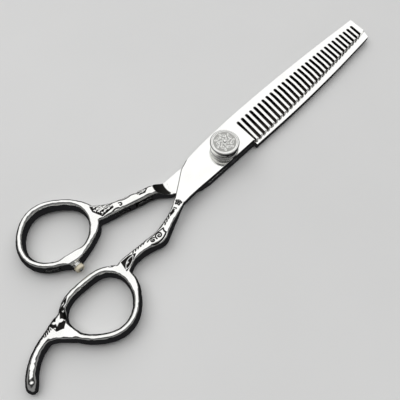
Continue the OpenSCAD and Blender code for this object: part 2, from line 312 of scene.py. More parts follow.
def filigree(patch, seed):
    """Curls that fill a patch, each joined to the next by a stem."""
    random = np.random.default_rng(seed)
    low, high = np.min(patch, axis=0), np.max(patch, axis=0)
    spots = []
    for i, y in enumerate(np.arange(low[1], high[1] + CURL_SPACING, CURL_SPACING * 0.87)):
        for x in np.arange(low[0] + (i % 2) * CURL_SPACING / 2, high[0] + CURL_SPACING, CURL_SPACING):
            across = random.uniform(-CURL_SHIFT, CURL_SHIFT)
            spots.append((x + across, y + random.uniform(-CURL_SHIFT, CURL_SHIFT)))
    spots = [s for s in spots if edge_distance(np.array([s]), patch)[0] > CURL_MARGIN]
    strokes = []
    for i, (x, y) in enumerate(spots):
        hand = 1 if i % 2 else -1
        strokes.append(spiral(x, y, CURL_SIZE * CURL_SPACING, random.uniform(0, 360), CURL_TURNS, hand))
        if i:
            strokes.append(bow(*spots[i - 1], x, y, random.uniform(-STEM_SAG, STEM_SAG)))
    return strokes


def closeness(flat, chosen, strokes, width):
    """How close the chosen points are to the strokes, from 0 to 1."""
    samples = np.concatenate(strokes)
    tree = KDTree(len(samples))
    for i, (x, y) in enumerate(samples):
        tree.insert((x, y, 0), i)
    tree.balance()
    out = np.zeros(len(flat))
    reach = 2.2 * width
    low, high = samples.min(0) - reach, samples.max(0) + reach
    inside = chosen & np.all(flat > low, axis=1) & np.all(flat < high, axis=1)
    for i in np.nonzero(inside)[0]:
        d = tree.find((flat[i, 0], flat[i, 1], 0))[2]
        if d < reach:
            out[i] = math.exp(-(d / width) ** 2)
    return out


def ornament(co, normal, flat, allowed, patches, ridges, grooves):
    """Sinks the ground of the patches round their ridges, and cuts the grooves.

    Gives back the points and how deep each one is, from 0 to 1."""
    ground = np.zeros(len(co))
    for patch in patches:
        ground = np.maximum(ground, smoothstep(-0.05, 0.2, edge_distance(flat, patch)))
    ground[~allowed] = 0
    ridge = closeness(flat, ground > 0, ridges, RIDGE_WIDTH)
    sunk = ground * (1 - ridge)
    if grooves:
        sunk = np.maximum(sunk, closeness(flat, allowed, grooves, GROOVE_WIDTH))
    return co - normal * (CUT_DEPTH * sunk)[:, None], sunk


def store_mask(mesh, name, values):
    layer = mesh.attributes.new(name, "FLOAT", "POINT")
    layer.data.foreach_set("value", values.astype(np.float32))


def ripple(co):
    """The slight waviness of a hand-polished casting: three waves, from long to short."""
    x, y, z = co.T
    long_wave = 0.035 * np.sin(0.95 * x + 1.2 * y)
    cross_wave = 0.025 * np.sin(1.75 * x - 1.3 * y + 0.6)
    return long_wave + cross_wave + 0.02 * np.sin(2.9 * y + 0.8 * x + 1.1 * z)


# --- the two handles ---

RING_STEPS = 200
SHANK_STEPS = 9
BOSS_STEPS = 6
RING_HALF = 1.5
RING_SQUARENESS = 2.05
BLEND_ROUNDS = 22


def ring_rows(centre, radius, flats):
    """Rows round a ring. A flat is its angle, reach, extra half width, extra squareness and shift out."""
    rows = []
    for k in range(RING_STEPS):
        a = 360 * k / RING_STEPS
        r, half, squareness = radius(a), RING_HALF, RING_SQUARENESS
        for angle, reach, wider, squarer, outward in flats:
            share = 1 - smoothstep(0.2 * reach, reach, abs((a - angle + 180) % 360 - 180))
            r, half, squareness = r + outward * share, half + wider * share, squareness + squarer * share
        x, y = centre[0] + r * math.cos(math.radians(a)), centre[1] + r * math.sin(math.radians(a))
        rows.append([x, y, MID_Z, half, MID_Z, squareness])
    return np.array(rows)


def wave(a, times, phase):
    return math.cos(math.radians(times * a + phase))


def thumb_radius(a):
    """The radius of the thumb ring's middle line at an angle."""
    return 11.65 + 0.74 * wave(a, 2, 32) + 0.27 * wave(a, 3, 85) + 0.18 * wave(a, 4, -14)


def finger_radius(a):
    """The radius of the finger ring's middle line at an angle."""
    return 10.8 + 0.99 * wave(a, 2, 18) + 0.61 * wave(a, 3, -104)


FINGER_CENTRE = (-66.55, -12.1)
THUMB_CENTRE = (-61.5, 16.65)
THUMB_FLATS = [(-20, 40, 0.4, 1.7, 0.2), (262, 26, 0.3, 3.2, 0)]
FINGER_FLATS = [(8, 42, 0.35, 1.3, 0.15), (180, 18, 0.2, 1.2, 0)]
FINGER_SHANK = [
    [-24.6, -3.25, 4.325, 1.8, 1.275, 8], [-27.6, -4.65, 4.25, 1.7, 1.55, 4],
    [-30.2, -5.7, 3.55, 1.7, 2.35, 3], [-33, -6.6, 3, 1.85, 2.95, 2.8], [-36, -7.65, 3, 2.2, 3, 2.8],
    [-38.6, -8.35, 3, 2.5, 3, 2.8], [-41.6, -7.8, 3, 2.15, 3, 2.8], [-45.5, -7.3, 3, 1.8, 3, 2.8],
    [-49.5, -7.15, 3, 1.85, 3, 3], [-52.8, -7.6, 3, 2.4, 3, 3.6], [-55, -8.6, 3, 2.9, 2.95, 4],
]
THUMB_SHANK = [
    [-23.4, 3.2, 1.675, 2.75, 1.275, 8], [-25.2, 4.1, 2.2, 2.4, 2.1, 4], [-27, 5.1, 2.95, 2.15, 2.9, 3],
    [-29, 6, 3, 2.1, 3, 2.9], [-31, 6.7, 3, 2.1, 3, 2.8], [-35, 7.8, 3, 2.15, 3, 2.8],
    [-39, 9.05, 3, 2.15, 3, 2.8], [-43, 10.35, 3, 2.4, 3, 3], [-46.4, 11.9, 3, 3, 3, 3.6],
    [-49.2, 13.5, 3, 3.4, 2.95, 4],
]
FINGER_REST = [
    [-78.1, -8, 3, 3.4, 2.95, 3.6], [-80.4, -7.75, 3, 2.8, 2.9, 3.2], [-83.6, -7.95, 3, 2.1, 2.75, 2.2],
    [-87.6, -8.9, 3, 1.85, 2.7, 2], [-91.1, -10.6, 3, 1.85, 2.65, 2], [-94, -12.9, 2.85, 1.95, 2.45, 2],
    [-96.1, -15.3, 2.45, 2, 2.1, 2], [-97, -16.8, 1.9, 1.5, 1.45, 2], [-97.4, -17.5, 1.8, 0.4, 0.5, 2],
]
WEB = [
    [-85.2, -8.7, 3, 0.8, 2.2, 3], [-82, -9.9, 3, 1.6, 2.75, 3.4],
    [-79.9, -11.6, 3, 1.8, 2.9, 3.4], [-78.2, -14, 3, 1.4, 2.9, 3],
]
# The boss under the bumper, its top level with the flat of the ring
THUMB_BOSS = [
    [-63.6, 3.98, 3, 1.9, 1.95, 2.6], [-63.6, 4.25, 3, 2, 2.3, 4], [-63.55, 4.7, 3, 2.5, 2.8, 5],
    [-63.5, 5.3, 3, 3.3, 2.97, 5], [-63.4, 6, 3, 4.2, 2.97, 5],
]
# Where the bodies of a handle meet and are blended: x, y and reach
FINGER_JUNCTIONS = [
    (-56.2, -9.4, 4.2), (-57.6, -14.5, 2.5), (-57.5, -4.5, 2.5), (-76.5, -8.5, 3.6), (-77.8, -13.5, 3.2),
    (-81.5, -11, 3.2), (-84.5, -9.6, 2.4), (-74.5, -5, 2.6),
]
THUMB_JUNCTIONS = [
    (-50.3, 13.8, 4.2), (-50.2, 18.5, 2.5), (-53.2, 9.8, 2.6), (-67.8, 6.9, 1.8), (-58.2, 6.4, 1.8),
]


def finish_handle(name, mesh, co, cut, body, node):
    store(mesh, co)
    store_mask(mesh, "cut", cut)
    to_metres(mesh)
    shade(mesh, 0)
    made = add_object(name, mesh)
    stand_in(made, body, node)
    return made


def build_finger_handle():
    parts = [
        sweep(ring_rows(FINGER_CENTRE, finger_radius, FINGER_FLATS), closed=True),
        sweep(spline(FINGER_SHANK, SHANK_STEPS), heading=200),
        sweep(spline(FINGER_REST, SHANK_STEPS), heading=180),
        sweep(spline(WEB, SHANK_STEPS), heading=190),
    ]
    mesh = remeshed("finger_grip", parts)
    co = coordinates(mesh)
    co = relax(mesh, co, 0.5 * near(co, FINGER_JUNCTIONS), BLEND_ROUNDS)
    co = polish(mesh, co, 24)
    store(mesh, co)
    normal = normals(mesh)
    co = co - normal * (SKIN_LOSS + np.abs(ripple(co)))[:, None]
    top = normal[:, 2] > FACES_UP
    # Cut lines: the flower by the weld, the curls on the shank's bump and the small arcs along its edge
    grooves = []
    for k in range(5):
        grooves += leaf(-25.9, -3.7, 1.15, 72 * k + 20, 0.3)
    grooves += [spiral(-38.7, -8, 1.35, 200, 1.6, 1), spiral(-41.2, -7.9, 0.95, 20, 1.4, -1)]
    grooves += [bow(-42.9, -7, -36, -7.1, 0.5), bow(-42.6, -8.9, -36.3, -8.9, -0.9)]
    grooves.append(bow(-36, -7.1, -36.3, -8.9, -0.3))
    for k in range(5):
        grooves.append(bow(-43.8 - 1.1 * k, -5.8, -44.4 - 1.1 * k, -6.6, 0.1))
    for k in range(4):
        grooves.append(bow(-30.6 - 1.2 * k, -4.6 - 0.4 * k, -31.2 - 1.2 * k, -5.4 - 0.4 * k, 0.1))
    # Sunk patches: the tear, the leaf by the finger rest, the rope, and three filled with curls
    tear = [(-53.5, -6), (-50.4, -6.1), (-48, -7.4), (-51.3, -9.2), (-54.2, -9.9)]
    fleur = [(-75, -3.6), (-78.2, -3.6), (-82.1, -5.6), (-81.4, -9.1), (-79.2, -9.9), (-76.9, -8.4),
             (-75.4, -5.8)]
    rope = [(-82, -5), (-85, -6), (-85.2, -8.3), (-82, -7.6)]
    filled = [
        [(-30.9, -5.7), (-30.6, -4.5), (-28.2, -3.9), (-27.7, -5.1)],
        [(-57.6, -3.7), (-54.5, -3.3), (-52, -5), (-54.2, -6), (-57, -5.4)],
        [(-72.4, -2.8), (-76.4, -2.8), (-77, -5), (-74, -4.4)],
    ]
    ridges = []
    for seed, patch in enumerate(filled):
        ridges += filigree(patch, seed)
    ridges += [bow(-53.8, -9.2, -49.2, -7.2, 0.9), bow(-53.8, -9.2, -49.2, -7.2, -0.7)]
    ridges.append(spiral(-51.9, -8, 0.5, 200, 0.8, 1))
    # A three-lobed leaf where the finger rest leaves the ring, curls round it and a rope beside it
    ridges += filled_leaf(-80.3, -8, 4.4, 48, 0.55) + filled_leaf(-79.8, -7.3, 1.9, 128, 0.4)
    ridges += filled_leaf(-79.4, -7, 2.1, -22, 0.45)
    ridges += [spiral(-79.6, -4.8, 0.55, 90, 0.8, 1), spiral(-77.2, -8.3, 0.5, 0, 0.8, -1)]
    ridges += [spiral(-81.2, -8.2, 0.5, 180, 0.8, 1), spiral(-76.2, -5.6, 0.45, 0, 0.8, 1)]
    for k in range(5):
        ridges.append(bow(-82.2 - 0.75 * k, -5.2 - 0.2 * k, -82.8 - 0.75 * k, -8 - 0.1 * k, 0.25))
    patches = filled + [tear, fleur, rope]
    co, cut = ornament(co, normal, co[:, :2], top, patches, ridges, grooves)
    return finish_handle("finger_grip", mesh, co, cut, "finger_half", "finger_handle")


def scoop(co):
    """Cuts the hollow between the end of the shank and the flat of the blade, and marks its floor."""
    edge_x = -28.4 + 0.25 * (co[:, 1] - 6)
    foot_x = -23.9 + 0.09 * (co[:, 1] - 3.5) ** 2
    along = np.clip((co[:, 0] - foot_x) / (edge_x - foot_x), 0, 1)
    limit = LOWER_TOP + (HANDLE_H - LOWER_TOP) * along ** 1.7
    scooped = (co[:, 0] > edge_x - 0.3) & (co[:, 2] > limit)
    co[:, 2] = np.where(scooped, limit, co[:, 2])
    return scooped * smoothstep(0.05, 0.25, along) * (1 - smoothstep(0.85, 1, along))


def build_thumb_handle():
    parts = [
        sweep(ring_rows(THUMB_CENTRE, thumb_radius, THUMB_FLATS), closed=True),
        sweep(spline(THUMB_SHANK, SHANK_STEPS), heading=180),
        sweep(spline(THUMB_BOSS, BOSS_STEPS), heading=90),
    ]
    mesh = remeshed("thumb_grip", parts)
    co = coordinates(mesh)
    co = relax(mesh, co, 0.5 * near(co, THUMB_JUNCTIONS), BLEND_ROUNDS)
    hollow = scoop(co)
    co = polish(mesh, co, 20)
    store(mesh, co)
    normal = normals(mesh)
    # The casting is left true to size beside its weld
    calm = smoothstep(-23.5, -29, co[:, 0])
    co = co - normal * (calm * (SKIN_LOSS + np.abs(ripple(co))))[:, None]
    top = normal[:, 2] > FACES_UP
    patches = [
        [(-48, 15.9), (-48.6, 13.6), (-47.2, 9.9), (-42.4, 9.9), (-41.9, 11.9)],
        [(-34.2, 9.6), (-31.2, 9.3), (-29.5, 7.6), (-31.4, 6.5), (-33.8, 7.4)],
        [(-28.3, 8.1), (-27.1, 7.9), (-27.3, 6.9), (-28.3, 7.1)],
    ]
    ridges = []
    for seed, patch in enumerate(patches):
        ridges += filigree(patch, seed + 20)
    grooves = [spiral(-40.3, 9.1, 0.95, 90, 0.75, 1)]
    grooves += [bow(-41.4, 8.5, -43.6, 8.9, -0.3), bow(-36.2, 9.5, -38.9, 10.3, 0.2)]
    co, cut = ornament(co, normal, co[:, :2], top, patches, ridges, grooves)
    # Scrolls along the inner wall of the shank and the ring's outer wall, laid out along X and Z
    wall = (normal[:, 1] < -0.45) & (co[:, 1] < 9.5)
    patches = [
        [(-30.2, 1.6), (-30.2, 4.6), (-36.4, 4.9), (-36.4, 1.2)],
        [(-38, 1.6), (-38, 4.2), (-42.5, 4), (-42.5, 1.8)],
        [(-68, 1.5), (-68, 4.6), (-73.4, 4.6), (-73.4, 1.5)],
    ]
    ridges = []
    for seed, patch in enumerate(patches):
        ridges += filigree(patch, seed + 40)
    co, side_cut = ornament(co, normal, co[:, [0, 2]], wall, patches, ridges, [])
    # The bore for the bumper's stem is left out, as the collar covers it
    cut = np.maximum(np.maximum(cut, side_cut), hollow)
    return finish_handle("thumb_grip", mesh, co, cut, "thumb_half", "thumb_handle")


# --- the two blades ---

SLOT_COUNT = 30
SLOT_PITCH = 2.26
SLOT_W = 1.2
SLOT_FLARE = 0.2
SLOT_LOW = -9.0
FIRST_SLOT_X = 11.1
# How far the first and the last slot lean, in millimetres along for each one across
SLOT_LEANS = (0.045, 0.14)
# The tops of the slots follow a low arch with its crown at this place
SLOT_CROWN = (44, 5.05)
# The notch in a tooth's end: shares of the tooth's width, and how deep each point is
TOOTH_NOTCH = ((0.24, 0), (0.5, 0.42), (0.76, 0))
BEVEL_Y = 4.0
TOOTH_SLOPE = math.tan(math.radians(7.6))
EDGE_SLOPE = math.tan(math.radians(26))
# The cutting edge: where its bevel starts, how soon it is full, and how thick the edge is left
EDGE_Y = -3
EDGE_X = 14
EDGE_RUN = 1.0
EDGE_T = 0.2
RIM = 0.07
# Where the comb blade's shoulder chamfer starts, and which way it falls
SHOULDERS = [((-18.1, 3.2), (-0.581, 0.814)), ((-14.9, 4.95), (-0.342, 0.94))]
SHOULDER_X = -12.5
SHOULDER_Z = MID_Z + 0.6
# The welds: middle and half width, and the heading of the comb's
COMB_WELD = ((-25, -3.4), 1.8, 200)
CUTTING_WELD = ((-23.7, 3.3), 2.75)


def comb_outline():
    """The comb blade's outline: spine, tip, toothed edge with notched tooth ends, heel and weld line."""
    spine = spline([[-13.2, 5.9], [-6, 6.7], [2, 7.25], [14, 7.65], [30, 7.8], [45, 7.65], [62, 7.2],
                    [COMB_REACH, 6.4]], 8)
    tips = spline([[COMB_REACH - 0.6, -0.7], [70, -1.5], [58, -2.5], [45, -3.5], [30, -4.4], [18, -4.95],
                   [10, -5.25]], 8)
    heel = spline([[10, -4.9], [0, -4.95], [-10, -4.9], [-17, -4.8], [-21.5, -4.85]], 6)

    def tip_y(x):
        return float(np.interp(x, tips[::-1, 0], tips[::-1, 1]))

    def wall(x, lean, top, half, wide):
        """Where a slot's wall meets the line of the tooth tips; the sign of half and wide says which wall."""
        at_top, at_low = x + lean * top + half, x + lean * SLOT_LOW + wide
        y = 0.0
        for _ in range(12):
            share = (y - top) / (SLOT_LOW - top)
            y = tip_y(at_top + (at_low - at_top) * share)
        return [at_top + (at_low - at_top) * (y - top) / (SLOT_LOW - top), y]

    slots = []
    for i in range(SLOT_COUNT):
        x = FIRST_SLOT_X + i * SLOT_PITCH
        lean = SLOT_LEANS[0] + (SLOT_LEANS[1] - SLOT_LEANS[0]) * i / (SLOT_COUNT - 1)
        top = SLOT_CROWN[1] - 0.62 * abs((x - SLOT_CROWN[0]) / 33) ** 2 - SLOT_W / 2
        half, wide = SLOT_W / 2, SLOT_W / 2 + SLOT_FLARE / 2
        right, left = wall(x, lean, top, half, wide), wall(x, lean, top, -half, -wide)
        centre = np.array([x + lean * top, top])
        arc = [centre + half * np.array([math.cos(a), math.sin(a)]) for a in np.linspace(0, math.pi, 13)]
        slots.append((right, arc, left))
    path = [list(p) for p in spine] + [[COMB_REACH - 0.6, -0.7]]
    for i in range(SLOT_COUNT - 1, -1, -1):
        right, arc, left = slots[i]
        path.append(right)
        path += [list(p) for p in arc]
        path.append(left)
        if i > 0:
            a, b = np.array(left), np.array(slots[i - 1][0])
            for share, lift in TOOTH_NOTCH:
                p = a + (b - a) * share
                path.append([p[0], p[1] + lift])
    path.append([10, -5.25])
    path += [list(p) for p in heel]
    (x, y), half, heading = COMB_WELD
    across = half * math.sin(math.radians(heading)), half * math.cos(math.radians(heading))
    weld = [[x - across[0], y + across[1]], [x + across[0], y - across[1]]]
    path += weld + [[-20, 2.2], [-16.5, 4.7]]
    return path, weld


def cutting_outline():
    """The cutting blade's outline: spine, cutting edge, weld line and heel."""
    spine = spline([[10.9, -6.15], [22, -6.15], [32, -6.05], [42, -5.75], [52, -5.3], [62, -4.7], [72, -3.95],
                    [79.4, -3.35]], 8)
    edge = spline([[80.7, -0.4], [60, -0.15], [35, 0.35], [14, 0.9], [9.5, 2.2], [5, 4.6], [-2, 5.3],
                   [-12, 5.7], [-17, 6.1]], 8)
    (x, y), half = CUTTING_WELD
    weld = [[x, y + half], [x, y - half]]
    path = [[10.9, -4.9]] + [list(p) for p in spine] + [list(p) for p in edge] + weld
    return path + [[-20, -1.9], [-15.5, -4.4], [-12, -4.9]], weld


def on_line(p, a, b):
    """Whether a point lies on the line between two others."""
    a, b, p = np.array(a), np.array(b), np.array(p)
    d = b - a
    t = np.dot(p - a, d) / np.dot(d, d)
    return -0.05 < t < 1.05 and np.linalg.norm(a + t * d - p) < 0.05


def plate(name, path, weld, low, high, creases, height):
    """A plate from an outline, with softened rims, and one face shaped by height(x, y, z)."""
    clean = [path[0]]
    for p in path[1:]:
        if math.hypot(p[0] - clean[-1][0], p[1] - clean[-1][1]) > 1e-3:
            clean.append(p)
    bm = bmesh.new()
    base = [bm.verts.new((x, y, low)) for x, y in clean]
    face = bm.faces.new(base)
    lifted = bmesh.ops.extrude_face_region(bm, geom=[face])
    top = [v for v in lifted["geom"] if isinstance(v, bmesh.types.BMVert)]
    bmesh.ops.translate(bm, vec=(0, 0, high - low), verts=top)
    bmesh.ops.recalc_face_normals(bm, faces=bm.faces)
    rims = []
    for e in bm.edges:
        flat = abs(e.verts[0].co.z - e.verts[1].co.z) < 1e-6
        middle = (e.verts[0].co + e.verts[1].co) / 2
        if flat and not on_line((middle.x, middle.y), *weld):
            rims.append(e)
    bmesh.ops.bevel(bm, geom=rims, offset=RIM, segments=2, profile=0.5, affect="EDGES", clamp_overlap=True)
    for point, direction in creases:
        geom = list(bm.verts) + list(bm.edges) + list(bm.faces)
        bmesh.ops.bisect_plane(bm, geom=geom, plane_co=(*point, 0), plane_no=(*direction, 0), dist=1e-4)
    bmesh.ops.triangulate(bm, faces=bm.faces)
    for v in bm.verts:
        v.co.z = height(v.co.x, v.co.y, v.co.z)
    mesh = bpy.data.meshes.new(name)
    bm.to_mesh(mesh)
    bm.free()
    return add_object(name, mesh)


def comb_height(x, y, z):
    """The comb blade's upper face: shoulder chamfer, taper to the tip and bevel along the teeth."""
    past = [(x - px) * nx + (y - py) * ny for (px, py), (nx, ny) in SHOULDERS]
    if x < SHOULDER_X and max(past) > 0:
        return z if z < SHOULDER_Z else z - max(past)
    drop = max(0.0, (x - TAPER_X) * TAPER)
    if x > FIRST_SLOT_X:
        drop = max(drop, (BEVEL_Y - y) * TOOTH_SLOPE)
    return UPPER_BOTTOM + (z - UPPER_BOTTOM) * (BLADE_T - drop) / BLADE_T


def cutting_height(x, y, z):
    """The cutting blade's lower face: taper to the tip and bevel to the edge."""
    drop = max(0.0, (x - TAPER_X) * TAPER)
    ramp = min(1.0, max(0.0, (x - EDGE_X) / EDGE_RUN))
    drop = max(drop, ramp * max(0.0, (y - EDGE_Y) * EDGE_SLOPE))
    drop = min(drop, BLADE_T - EDGE_T)
    return LOWER_TOP - (LOWER_TOP - z) * (BLADE_T - drop) / BLADE_T


def cut_away(made, cutters):
    for i, (verts, faces) in enumerate(cutters):
        tool = add_object(f"{made.name}_cutter{i}", mesh_from("cutter", verts, faces))
        cut = made.modifiers.new(f"cut{i}", "BOOLEAN")
        cut.operation = "DIFFERENCE"
        cut.solver = "EXACT"
        cut.object = tool
    mesh = evaluated(made)
    for cut in list(made.modifiers):
        tool = cut.object
        made.modifiers.remove(cut)
        bpy.data.objects.remove(tool)
    made.data = mesh


def drum(radius, low, high, sides=96, turn=0.0):
    """A closed upright prism round the pivot, used as a cutter."""
    angles = [turn + 2 * math.pi * k / sides for k in range(sides)]
    ring = [(radius * math.cos(a), radius * math.sin(a)) for a in angles]
    verts = [(x, y, low) for x, y in ring] + [(x, y, high) for x, y in ring]
    faces = [(k, (k + 1) % sides, sides + (k + 1) % sides, sides + k) for k in range(sides)]
    faces += [tuple(range(sides - 1, -1, -1)), tuple(range(sides, 2 * sides))]
    return verts, faces


def finish_plate(made, body, node):
    to_metres(made.data)
    shade(made.data, 32)
    weighted = made.modifiers.new("even", "WEIGHTED_NORMAL")
    weighted.keep_sharp = True
    stand_in(made, body, node)


def build_blades():
    path, weld = comb_outline()
    diagonal = TAPER / TOOTH_SLOPE
    creases = [((TAPER_X, 0), (1, 0)), ((0, BEVEL_Y), (0, 1)), ((TAPER_X, BEVEL_Y), (diagonal, 1)),
               ((FIRST_SLOT_X - 0.01, 0), (1, 0)), ((FIRST_SLOT_X + 0.01, 0), (1, 0))]
    creases += SHOULDERS
    comb = plate("toothed_blade", path, weld, UPPER_BOTTOM, UPPER_TOP, creases, comb_height)
    cut_away(comb, [drum(BUSH_BORE_R, 2, 7), drum(WASHER_RECESS_R, 2, LOWER_TOP + 0.35)])
    finish_plate(comb, "finger_half", "comb_blade")
    path, weld = cutting_outline()
    creases = [((TAPER_X, 0), (1, 0)), ((0, EDGE_Y), (0, 1)), ((EDGE_X, 0), (1, 0)),
               ((EDGE_X + EDGE_RUN, 0), (1, 0)), ((TAPER_X, EDGE_Y), (TAPER / EDGE_SLOPE, -1))]
    straight = plate("straight_blade", path, weld, LOWER_BOTTOM, LOWER_TOP, creases, cutting_height)
    square = math.sqrt(0.5) * (NECK_W + 2 * SLACK)
    cut_away(straight, [drum(square, -1, 5, 4, math.pi / 4), drum(HEAD_RECESS_R, -1, HEAD_RECESS_TOP),
                        drum(WASHER_RECESS_R, LOWER_TOP - 0.25, 5)])
    finish_plate(straight, "thumb_half", "cutting_blade")
    return comb, straight


# --- turned pieces ---

LATHE_STEPS = 144
LATHE_SHARP = 35


def turn_outward(mesh):
    """Joins doubled points and turns every face outward."""
    bm = bmesh.new()
    bm.from_mesh(mesh)
    bmesh.ops.remove_doubles(bm, verts=bm.verts, dist=1e-5)
    bmesh.ops.recalc_face_normals(bm, faces=bm.faces)
    bm.to_mesh(mesh)
    bm.free()


def rounded(points, radius):
    """A closed profile with its corners softened."""
    p = [np.array(q, float) for q in points]
    n, out = len(p), []
    for i in range(n):
        before, here, after = p[i - 1], p[i], p[(i + 1) % n]
        r1 = min(radius, 0.4 * np.linalg.norm(before - here))
        r2 = min(radius, 0.4 * np.linalg.norm(after - here))
        a = here + (before - here) / np.linalg.norm(before - here) * r1
        b = here + (after - here) / np.linalg.norm(after - here) * r2
        for t in (0, 0.25, 0.5, 0.75, 1):
            out.append((1 - t) ** 2 * a + 2 * t * (1 - t) * here + t * t * b)
    return out


def lathe(name, profile, place):
    """Turns a closed profile of radius and height; place maps radius, angle, height to a point."""
    verts, faces, m = [], [], len(profile)
    for k in range(LATHE_STEPS):
        a = 2 * math.pi * k / LATHE_STEPS
        verts += [place(r, a, h) for r, h in profile]
    for k in range(LATHE_STEPS):
        j = (k + 1) % LATHE_STEPS
        for i in range(m):
            l = (i + 1) % m
            faces.append((k * m + i, j * m + i, j * m + l, k * m + l))
    mesh = mesh_from(name, verts, faces)
    turn_outward(mesh)
    to_metres(mesh)
    shade(mesh, LATHE_SHARP)
    return add_object(name, mesh)


def upright(r, a, h):
    return (r * math.cos(a), r * math.sin(a), h)


def on_boss(r, a, h):
    """A place round the bumper's axis, h millimetres out from the boss's end."""
    return (BUMPER_X + r * math.cos(a), BOSS_END_Y - h, MID_Z + r * math.sin(a))


def build_dial():
    """The dial's body, grooved round its side and hollow for the nut and the face, and the seat under it."""
    low = SEAT_TOP + 0.3
    rim, waist, hollow, face_seat = 5.1, 4.5, 4.05, 4.44
    thread, nut_r = 2.3, 3.54
    nut_top, floor = 9.18, 9.31
    shell = lathe("dial_body", rounded([
        (hollow, low), (4.65, low), (4.85, low + 0.2), (4.85, low + 0.9), (waist, low + 1.05),
        (waist, low + 1.35), (rim, low + 1.55), (rim, FACE_Z - 0.55), (4.8, FACE_Z - 0.22),
        (face_seat, FACE_Z - 0.22), (face_seat, floor), (thread, floor), (thread, nut_top),
        (nut_r, nut_top), (nut_r, NUT_LOW), (hollow, NUT_LOW)], 0.09), upright)
    stand_in(shell, "dial", "dial_shell")
    bore = 2.54
    seat = lathe("dial_base", rounded([
        (bore, UPPER_TOP), (SEAT_R, UPPER_TOP), (SEAT_R, SEAT_TOP - 0.25), (4.75, SEAT_TOP),
        (bore, SEAT_TOP)], 0.12), upright)
    stand_in(seat, "finger_half", "dial_seat")
    return shell, seat


def build_spring():
    """The cone spring, drawn at the height it has at the tightest setting."""
    inner, outer, thick = 2.7, 3.8, 0.22
    rest_height, travel = 0.62, 0.125
    low = SEAT_TOP + SLACK
    high = low + rest_height - travel
    profile = [(inner, high - thick), (inner, high), (outer, low + thick), (outer, low)]
    spring = lathe("cone_spring", rounded(profile, 0.05), upright)
    stand_in(spring, "thumb_half", "spring_washer")
    return spring


# The relief on the dial's face
CAP_CURLS = 7
CAP_RIDGE_WIDTH = 0.15
CAP_RELIEF = 0.1


def polar(radius, degrees):
    return radius * math.cos(math.radians(degrees)), radius * math.sin(math.radians(degrees))


def cap_strokes():
    """Two rings of curls joined by stems, and a rosette in the middle."""
    strokes = []
    for k in range(CAP_CURLS):
        turn = 360 * k / CAP_CURLS
        between = turn + 180 / CAP_CURLS
        inner, outer = polar(2.3, turn), polar(3.3, between)
        strokes += [spiral(*inner, 0.78, turn + 60, 1.25, 1), spiral(*outer, 0.55, between + 200, 1.1, -1)]
        strokes += [bow(*inner, *outer, 0.35), bow(*polar(1.5, between), *polar(2.7, between + 8), 0.2)]
        strokes += leaf(*polar(0.6, between), 0.95, between, 0.24)
    return strokes


def build_cap():
    """The domed face disc: a plain border and a middle boss, with the curls raised between them."""
    edge, hole, crown = 4.4, 0.44, 0.35
    dome_r = (edge * edge + crown * crown) / (2 * crown)
    rings, steps = 96, 288
    radii = np.linspace(hole, edge - 0.06, rings)
    a = np.arange(steps) * 2 * math.pi / steps
    r, t = np.meshgrid(radii, a, indexing="ij")
    x, y = r * np.cos(t), r * np.sin(t)
    samples = np.concatenate(cap_strokes())
    flat = np.stack([x.ravel(), y.ravel()], 1)
    best = np.full(len(flat), 9.0)
    for start in range(0, len(samples), 64):
        chunk = samples[start:start + 64]
        d = np.hypot(flat[:, None, 0] - chunk[None, :, 0], flat[:, None, 1] - chunk[None, :, 1]).min(1)
        best = np.minimum(best, d)
    ridge = np.exp(-(best / CAP_RIDGE_WIDTH) ** 2).reshape(r.shape)
    border = smoothstep(3.95, 4.08, r)
    boss = 1 - smoothstep(0.5, 0.62, r)
    raised = np.maximum(np.maximum(ridge, border), boss)
    dome = FACE_Z - dome_r + np.sqrt(dome_r ** 2 - r ** 2)
    z = dome - CAP_RELIEF * (1 - raised)
    verts = np.stack([x, y, z], -1).reshape(-1, 3)
    rim = [(edge * math.cos(b), edge * math.sin(b), h) for h in (FACE_Z - crown - 0.07, CAP_LOW) for b in a]
    inner = [(hole * math.cos(b), hole * math.sin(b), CAP_LOW) for b in a]
    verts = np.concatenate([verts, rim, inner])
    faces = []
    order = list(range(rings)) + [rings, rings + 1, rings + 2]
    for i in range(len(order)):
        p, q = order[i] * steps, order[(i + 1) % len(order)] * steps
        for k in range(steps):
            l = (k + 1) % steps
            faces.append((p + k, q + k, q + l, p + l))
    mesh = mesh_from("dial_face", verts, faces)
    turn_outward(mesh)
    cut = np.zeros(len(verts))
    cut[:rings * steps] = 1 - raised.ravel()
    store_mask(mesh, "cut", cut)
    to_metres(mesh)
    shade(mesh, 50)
    made = add_object("dial_face", mesh)
    stand_in(made, "dial", "dial_cap")
    return made


def build_bumper():
    """The collar with a groove round it, and the plug whose stem goes through it into the boss."""
    tall, bore, outer = 0.8, 1, 1.85
    collar = lathe("bumper_collar", rounded([
        (bore, 0), (outer, 0), (outer, 0.3), (1.72, 0.42), (outer, 0.55), (outer, tall), (bore, tall)],
        0.07), on_boss)
    stand_in(collar, "thumb_half", "bumper_socket")
    pin_bore, stem, foot = 0.45, 0.95, -1.7
    plug = lathe("bumper_plug", rounded([
        (pin_bore, foot), (stem, foot), (stem, tall), (1.5, tall), (1.55, 0.95), (1.55, 1.8),
        (1.4, 2.05), (1.1, 2.1), (pin_bore, 2.1)], 0.1), on_boss)
    stand_in(plug, "thumb_half", "bumper")
    return collar, plug


# --- materials ---

def new_material(name):
    made = bpy.data.materials.new(name)
    made.use_nodes = True
    tree = made.node_tree
    return made, tree, tree.nodes["Principled BSDF"]


def node(tree, kind, **inputs):
    made = tree.nodes.new(kind)
    for key, value in inputs.items():
        made.inputs[key].default_value = value
    return made


